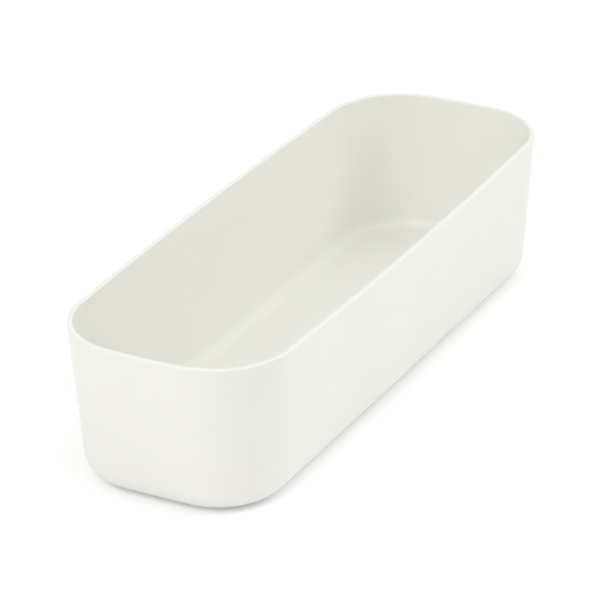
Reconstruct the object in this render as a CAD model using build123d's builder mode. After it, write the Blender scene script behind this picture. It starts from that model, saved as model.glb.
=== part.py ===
"""Open storage bin for a drawer: one moulded tub on four soft non-slip feet.

Millimetres, +Z up. X runs along the bin, Y across it. The origin lies on the
resting plane, under the middle of the bin.
"""
import os
from math import atan2, cos, degrees, radians, tan

from build123d import *

# Bin, overall sizes at the rim before its edges are rounded
bin_length = 294.0
bin_width = 103.6
bin_height = 67.6
corner_radius = 35.0
# The sides are straight at the base and bow out towards the rim, by this much at mid length
side_crown = 2.2
end_crown = 0.6

# Bin walls, which narrow towards the base
wall_thickness = 2.4
floor_thickness = 2.5
draft_angle = 4.4
base_round = 9.4
rim_round = 0.7

# Feet, stuck in shallow pockets under the corners
foot_diameter = 12.0
foot_thickness = 2.0
foot_edge_round = 0.5
pocket_depth = 0.8
pocket_clearance = 0.3
pocket_margin = 2.0

# Gate mark in the middle of the underside: a shallow dimple with the broken-off nub in it
gate_dimple_diameter = 10.0
gate_dimple_depth = 0.6
gate_nub_diameter = 2.4
gate_nub_height = 0.4

# Heights
underside_z = foot_thickness - pocket_depth
floor_z = underside_z + floor_thickness
rim_z = underside_z + bin_height

# Centre of each corner round, the same at every height and on both faces of the wall
corner_x = bin_length / 2 - end_crown - corner_radius
corner_y = bin_width / 2 - side_crown - corner_radius


def corner_radius_at(z):
    """Outer corner radius at height z, before the base edge is rounded."""
    return corner_radius - (rim_z - z) * tan(radians(draft_angle))


def crown_arc(half_chord, offset, radius, crown):
    """Radius, centre and half angle of a crowned side's arc, tangent to the corner rounds at its ends."""
    arc_radius = (half_chord**2 + (radius + crown) ** 2 - radius**2) / (2 * crown)
    arc_centre = offset + radius + crown - arc_radius
    return arc_radius, arc_centre, degrees(atan2(half_chord, offset - arc_centre))


def straight_outline(radius):
    """Face of the plan at the base: straight sides between the corner rounds."""
    RectangleRounded(2 * (corner_x + radius), 2 * (corner_y + radius), radius)


def crowned_outline(radius):
    """Face of the plan at the rim: crowned sides, tangent to the corner rounds."""
    side_radius, side_centre, side_angle = crown_arc(corner_x, corner_y, radius, side_crown)
    end_radius, end_centre, end_angle = crown_arc(corner_y, corner_x, radius, end_crown)
    corner_angle = 90 - side_angle - end_angle
    with BuildLine() as outline:
        for sign, turn in ((1, 0), (-1, 180)):
            CenterArc((sign * end_centre, 0), end_radius, turn - end_angle, 2 * end_angle)
            CenterArc((sign * corner_x, sign * corner_y), radius, turn + end_angle, corner_angle)
            CenterArc((0, sign * side_centre), side_radius, turn + 90 - side_angle, 2 * side_angle)
            CenterArc((-sign * corner_x, sign * corner_y), radius, turn + 90 + side_angle, corner_angle)
    make_face(outline.edges())


def drafted_block(inset, bottom_z, bottom_round):
    """Solid from bottom_z to the rim, inset from the bin's outside, with a rounded bottom edge."""
    with BuildPart() as block:
        with BuildSketch(Plane.XY.offset(bottom_z)):
            straight_outline(corner_radius_at(bottom_z) - inset)
        with BuildSketch(Plane.XY.offset(rim_z)):
            crowned_outline(corner_radius - inset)
        loft(ruled=True)
        fillet(block.edges().group_by(Axis.Z)[0], bottom_round)
    return block.part


# Feet stand on the diagonals of the corner rounds, as far out as the flat underside reaches
pocket_radius = foot_diameter / 2 + pocket_clearance
base_round_setback = base_round * tan(radians(45 - draft_angle / 2))
flat_corner_radius = corner_radius_at(underside_z) - base_round_setback
foot_reach = (flat_corner_radius - pocket_radius - pocket_margin) * cos(radians(45))
foot_x = corner_x + foot_reach
foot_y = corner_y + foot_reach
foot_centres = {
    "front_left_foot": (-foot_x, -foot_y),
    "front_right_foot": (foot_x, -foot_y),
    "rear_left_foot": (-foot_x, foot_y),
    "rear_right_foot": (foot_x, foot_y),
}

# Bin: a drafted tub, hollowed to an even wall
outside = drafted_block(0, underside_z, base_round)
hollow = drafted_block(wall_thickness, floor_z, base_round - wall_thickness)
with BuildPart() as bin_body:
    add(outside)
    add(hollow, mode=Mode.SUBTRACT)
    fillet(bin_body.edges().group_by(Axis.Z)[-1], rim_round)
    with BuildSketch(Plane.XY.offset(underside_z)):
        with Locations(*foot_centres.values()):
            Circle(pocket_radius)
    extrude(amount=pocket_depth, mode=Mode.SUBTRACT)
    with BuildSketch(Plane.XY.offset(underside_z)):
        Circle(gate_dimple_diameter / 2)
    extrude(amount=gate_dimple_depth, mode=Mode.SUBTRACT)
    with BuildSketch(Plane.XY.offset(underside_z + gate_dimple_depth)):
        Circle(gate_nub_diameter / 2)
    extrude(amount=-gate_nub_height)

os.makedirs("parts", exist_ok=True)
bin_body.part.label = "bin"
export_step(bin_body.part, "parts/bin.step")

# Feet: flat pads with a rounded lower edge, each seated against the top of its pocket
for foot_name, foot_centre in foot_centres.items():
    with BuildPart() as foot:
        with BuildSketch():
            with Locations(foot_centre):
                Circle(foot_diameter / 2)
        extrude(amount=foot_thickness)
        fillet(foot.edges().group_by(Axis.Z)[0], foot_edge_round)
    foot.part.label = foot_name
    export_step(foot.part, f"parts/{foot_name}.step")
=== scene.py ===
"""Open off-white storage bin on soft feet, in a plain studio. Metres, in the part's own frame."""
from math import pi, radians

import bpy
from mathutils import Matrix, Vector


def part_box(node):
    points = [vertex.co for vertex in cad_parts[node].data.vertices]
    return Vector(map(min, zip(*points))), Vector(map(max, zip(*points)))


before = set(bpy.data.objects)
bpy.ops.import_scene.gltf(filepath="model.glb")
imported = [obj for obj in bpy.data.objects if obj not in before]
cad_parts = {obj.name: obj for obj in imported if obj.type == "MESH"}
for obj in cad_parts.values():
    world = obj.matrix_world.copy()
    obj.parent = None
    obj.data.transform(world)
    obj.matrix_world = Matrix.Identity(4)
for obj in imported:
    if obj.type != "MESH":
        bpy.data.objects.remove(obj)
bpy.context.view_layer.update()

bin_low, bin_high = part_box("bin")
bin_middle = (bin_low + bin_high) / 2

# Camera, at the photograph's viewing angle
camera_azimuth = radians(-61.71)
camera_elevation = radians(25.89)
camera_roll = radians(-1.09)
camera_distance = 1.468
camera_lens = 204.4
camera_aim_right = -0.00643
camera_aim_up = -0.00399

# Studio. Each softbox has its place, its side and the radiance of its face
white = (1.0, 1.0, 1.0, 1.0)
floor_half_size = 6.0
floor_colour = (0.95, 0.95, 0.95)
floor_roughness = 0.9
floor_lift = 0.20
ambient_strength = 0.66
softboxes = {
    "overhead softbox": ((0.2, -0.5, 1.7), 1.2, 0.5),
    "left softbox": ((-1.4, 0.3, 1.3), 1.0, 2.6),
    "right softbox": ((1.6, -2.1, 2.2), 1.6, 2.65),
}

# Plastic: colours, gloss and the refraction at its surface
plastic_light = (0.905, 0.904, 0.852)
plastic_warm = (0.893, 0.890, 0.836)
plastic_rubbed = (0.915, 0.914, 0.875)
plastic_roughness_low = 0.30
plastic_roughness_high = 0.36
plastic_roughness_worn = 0.10
plastic_ior = 1.49

# Light that sinks into the plastic: its share, its depth, and how much of that red, green and blue reach
plastic_glow = 0.4
plastic_glow_depth = 0.003
plastic_glow_reach = (1.0, 0.95, 0.85)

# Patterns of the plastic: slow colour clouds, moulding waves and a fine grain, the last two in relief
cloud_size = 0.060
wave_size = 0.033
wave_depth = 0.00006
grain_size = 0.0008
grain_depth = 0.0000015

# Noise: how many finer layers each kind of pattern has, and the range that most of its values lie in
cloud_layers = 3.0
wave_layers = 1.0
grain_layers = 2.0
noise_low = 0.3
noise_high = 0.7

# Rubbed patches along the rim: from which noise value they show, and from which one fully
rub_size = 0.022
rub_reach = 0.0012
rub_starts = 0.40
rub_full = 0.70
rub_strength = 0.8

# Fine scratches along the inside floor, likewise, and the upward normal of a face that counts as level
scratch_width = 0.0005
scratch_length = 0.040
scratch_starts = 0.50
scratch_full = 0.75
scratch_reach = 0.0035
scratch_fade = 0.0005
level_starts = 0.90
level_full = 0.99

# Rubber of the feet, darkened by dust towards the resting face
rubber_light = (0.62, 0.61, 0.575)
rubber_dusty = (0.50, 0.492, 0.462)
rubber_roughness_low = 0.55
rubber_roughness_high = 0.75
rubber_cloud_size = 0.0029
rubber_grain_size = 0.00024
rubber_grain_depth = 0.00003
dust_reach = 0.0009
dust_least = 0.3

# Places of a mix node's colour sockets, which share their names with its other sockets
mix_first_colour = 6
mix_second_colour = 7
mix_colour_result = 2


def new_material(name):
    """A material with its node tree and its shader node."""
    material = bpy.data.materials.new(name)
    material.use_nodes = True
    tree = material.node_tree
    return material, tree, tree.nodes["Principled BSDF"]


def noise(tree, feature_size, layers, stretch=(1.0, 1.0, 1.0)):
    """Noise from 0 to 1 over the object's own coordinates."""
    place = tree.nodes.new("ShaderNodeTexCoord")
    mapping = tree.nodes.new("ShaderNodeMapping")
    mapping.inputs["Scale"].default_value = stretch
    texture = tree.nodes.new("ShaderNodeTexNoise")
    texture.inputs["Scale"].default_value = 1 / feature_size
    texture.inputs["Detail"].default_value = layers
    tree.links.new(place.outputs["Object"], mapping.inputs["Vector"])
    tree.links.new(mapping.outputs["Vector"], texture.inputs["Vector"])
    return texture.outputs["Fac"]


def remap(tree, value, from_low, from_high, to_low, to_high):
    """The value moved smoothly from one range to another, and held at its ends."""
    node = tree.nodes.new("ShaderNodeMapRange")
    node.interpolation_type = "SMOOTHSTEP"
    node.inputs["From Min"].default_value = from_low
    node.inputs["From Max"].default_value = from_high
    node.inputs["To Min"].default_value = to_low
    node.inputs["To Max"].default_value = to_high
    tree.links.new(value, node.inputs["Value"])
    return node.outputs["Result"]


def upward_part(tree, source):
    """Z of the object's own coordinates or of its normals."""
    place = tree.nodes.new("ShaderNodeTexCoord")
    split = tree.nodes.new("ShaderNodeSeparateXYZ")
    tree.links.new(place.outputs[source], split.inputs["Vector"])
    return split.outputs["Z"]


def combine(tree, operation, first, second):
    """Two values put together by one operation."""
    node = tree.nodes.new("ShaderNodeMath")
    node.operation = operation
    tree.links.new(first, node.inputs[0])
    tree.links.new(second, node.inputs[1])
    return node.outputs["Value"]


def blend(tree, share, first, second):
    """Colour between two others. Each is a colour or a link."""
    node = tree.nodes.new("ShaderNodeMix")
    node.data_type = "RGBA"
    tree.links.new(share, node.inputs["Factor"])
    for place, colour in ((mix_first_colour, first), (mix_second_colour, second)):
        if isinstance(colour, tuple):
            node.inputs[place].default_value = (*colour, 1.0)
        else:
            tree.links.new(colour, node.inputs[place])
    return node.outputs[mix_colour_result]


def bump(tree, value, depth, below=None):
    """Relief of the given depth in metres, on top of another relief if there is one."""
    node = tree.nodes.new("ShaderNodeBump")
    node.inputs["Strength"].default_value = 1.0
    node.inputs["Distance"].default_value = depth
    tree.links.new(value, node.inputs["Height"])
    if below is not None:
        tree.links.new(below, node.inputs["Normal"])
    return node.outputs["Normal"]


def rim_rub(tree):
    """Where hands have rubbed the top of the rim, in patches."""
    top = remap(tree, upward_part(tree, "Object"), bin_high.z - rub_reach, bin_high.z, 0.0, 1.0)
    patches = remap(tree, noise(tree, rub_size, cloud_layers), rub_starts, rub_full, 0.0, rub_strength)
    return combine(tree, "MULTIPLY", top, patches)


def floor_scratches(tree):
    """Fine scratches along the inside floor, the one level face low in the bin that looks up."""
    top = bin_low.z + scratch_reach
    low = remap(tree, upward_part(tree, "Object"), top - scratch_fade, top + scratch_fade, 1.0, 0.0)
    level = remap(tree, upward_part(tree, "Normal"), level_starts, level_full, 0.0, 1.0)
    inside_floor = combine(tree, "MULTIPLY", low, level)
    lengthwise = (scratch_width / scratch_length, 1.0, 1.0)
    lines = noise(tree, scratch_width, grain_layers, stretch=lengthwise)
    scratches = remap(tree, lines, scratch_starts, scratch_full, 0.0, 1.0)
    return combine(tree, "MULTIPLY", inside_floor, scratches)


def bin_plastic():
    """Semi-gloss moulded plastic with faint waves and a fine grain, lightly worn on its rim and floor."""
    material, tree, shader = new_material("bin_plastic")
    clouds = noise(tree, cloud_size, cloud_layers)
    waves = noise(tree, wave_size, wave_layers)
    grain = noise(tree, grain_size, grain_layers)
    rubbed = rim_rub(tree)
    worn = combine(tree, "MAXIMUM", rubbed, floor_scratches(tree))
    warmth = remap(tree, clouds, noise_low, noise_high, 0.0, 1.0)
    colour = blend(tree, warmth, plastic_light, plastic_warm)
    tree.links.new(blend(tree, rubbed, colour, plastic_rubbed), shader.inputs["Base Color"])
    moulded = remap(tree, waves, noise_low, noise_high, plastic_roughness_low, plastic_roughness_high)
    dulled = remap(tree, worn, 0.0, 1.0, 0.0, plastic_roughness_worn)
    tree.links.new(combine(tree, "ADD", moulded, dulled), shader.inputs["Roughness"])
    relief = bump(tree, grain, grain_depth, bump(tree, waves, wave_depth))
    tree.links.new(relief, shader.inputs["Normal"])
    shader.inputs["IOR"].default_value = plastic_ior
    shader.inputs["Subsurface Weight"].default_value = plastic_glow
    shader.inputs["Subsurface Radius"].default_value = plastic_glow_reach
    shader.inputs["Subsurface Scale"].default_value = plastic_glow_depth
    return material


def foot_rubber():
    """Matt soft rubber with a fine grain, dusty towards the resting face."""
    material, tree, shader = new_material("foot_rubber")
    clouds = noise(tree, rubber_cloud_size, cloud_layers)
    low = remap(tree, upward_part(tree, "Object"), 0.0, dust_reach, 1.0, 0.0)
    patches = remap(tree, clouds, noise_low, noise_high, dust_least, 1.0)
    dust = combine(tree, "MULTIPLY", low, patches)
    tree.links.new(blend(tree, dust, rubber_light, rubber_dusty), shader.inputs["Base Color"])
    roughness = remap(tree, clouds, noise_low, noise_high, rubber_roughness_low, rubber_roughness_high)
    tree.links.new(roughness, shader.inputs["Roughness"])
    relief = bump(tree, noise(tree, rubber_grain_size, grain_layers), rubber_grain_depth)
    tree.links.new(relief, shader.inputs["Normal"])
    return material


def seen(tree):
    """1 where a picture, a reflection or a view through something shows the surface, 0 for its light."""
    path = tree.nodes.new("ShaderNodeLightPath")
    either = combine(tree, "MAXIMUM", path.outputs["Is Camera Ray"], path.outputs["Is Glossy Ray"])
    return combine(tree, "MAXIMUM", either, path.outputs["Is Transmission Ray"])


def add_world():
    """White where it is seen, and an even soft light on what stands in it."""
    world = bpy.data.worlds.new("studio")
    bpy.context.scene.world = world
    world.use_nodes = True
    tree = world.node_tree
    light = tree.nodes["Background"]
    light.inputs["Color"].default_value = white
    strength = remap(tree, seen(tree), 0.0, 1.0, ambient_strength, 1.0)
    tree.links.new(strength, light.inputs["Strength"])


def add_floor():
    """Pale floor that takes the bin's shadow, lifted a little towards white where it is seen."""
    half = floor_half_size
    corners = [(-half, -half, 0), (half, -half, 0), (half, half, 0), (-half, half, 0)]
    mesh = bpy.data.meshes.new("floor")
    mesh.from_pydata(corners, [], [(0, 1, 2, 3)])
    floor = bpy.data.objects.new("floor", mesh)
    bpy.context.scene.collection.objects.link(floor)
    material, tree, shader = new_material("floor")
    shader.inputs["Base Color"].default_value = (*floor_colour, 1.0)
    shader.inputs["Roughness"].default_value = floor_roughness
    shader.inputs["Specular IOR Level"].default_value = 0.0
    shader.inputs["Emission Color"].default_value = white
    lift = remap(tree, seen(tree), 0.0, 1.0, 0.0, floor_lift)
    tree.links.new(lift, shader.inputs["Emission Strength"])
    mesh.materials.append(material)


def add_softbox(name, place, side, radiance):
    """Square area light, turned to the bin, whose face shines at the given radiance."""
    data = bpy.data.lights.new(name, "AREA")
    data.shape = "SQUARE"
    data.size = side
    data.energy = radiance * side**2 * pi
    light = bpy.data.objects.new(name, data)
    bpy.context.scene.collection.objects.link(light)
    facing = (bin_middle - Vector(place)).to_track_quat("-Z", "Y")
    light.matrix_world = Matrix.Translation(place) @ facing.to_matrix().to_4x4()


def add_camera():
    """Camera turned, tilted and rolled about the middle of the bin. Unturned, it looks straight down."""
    data = bpy.data.cameras.new("camera")
    data.lens = camera_lens
    camera = bpy.data.objects.new("camera", data)
    bpy.context.scene.collection.objects.link(camera)
    turn = Matrix.Rotation(camera_azimuth, 4, "Z")
    tilt = Matrix.Rotation(radians(90) - camera_elevation, 4, "X")
    roll = Matrix.Rotation(camera_roll, 4, "Z")
    facing = turn @ tilt @ roll
    place = bin_middle + facing @ Vector((camera_aim_right, camera_aim_up, camera_distance))
    camera.matrix_world = Matrix.Translation(place) @ facing
    bpy.context.scene.camera = camera


# Materials go onto the pieces by name
plastic = bin_plastic()
rubber = foot_rubber()
for name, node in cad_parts.items():
    node.data.materials.clear()
    node.data.materials.append(plastic if name == "bin" else rubber)

add_world()
add_floor()
for name, (place, side, radiance) in softboxes.items():
    add_softbox(name, place, side, radiance)
add_camera()
bpy.context.scene.view_settings.view_transform = "Standard"
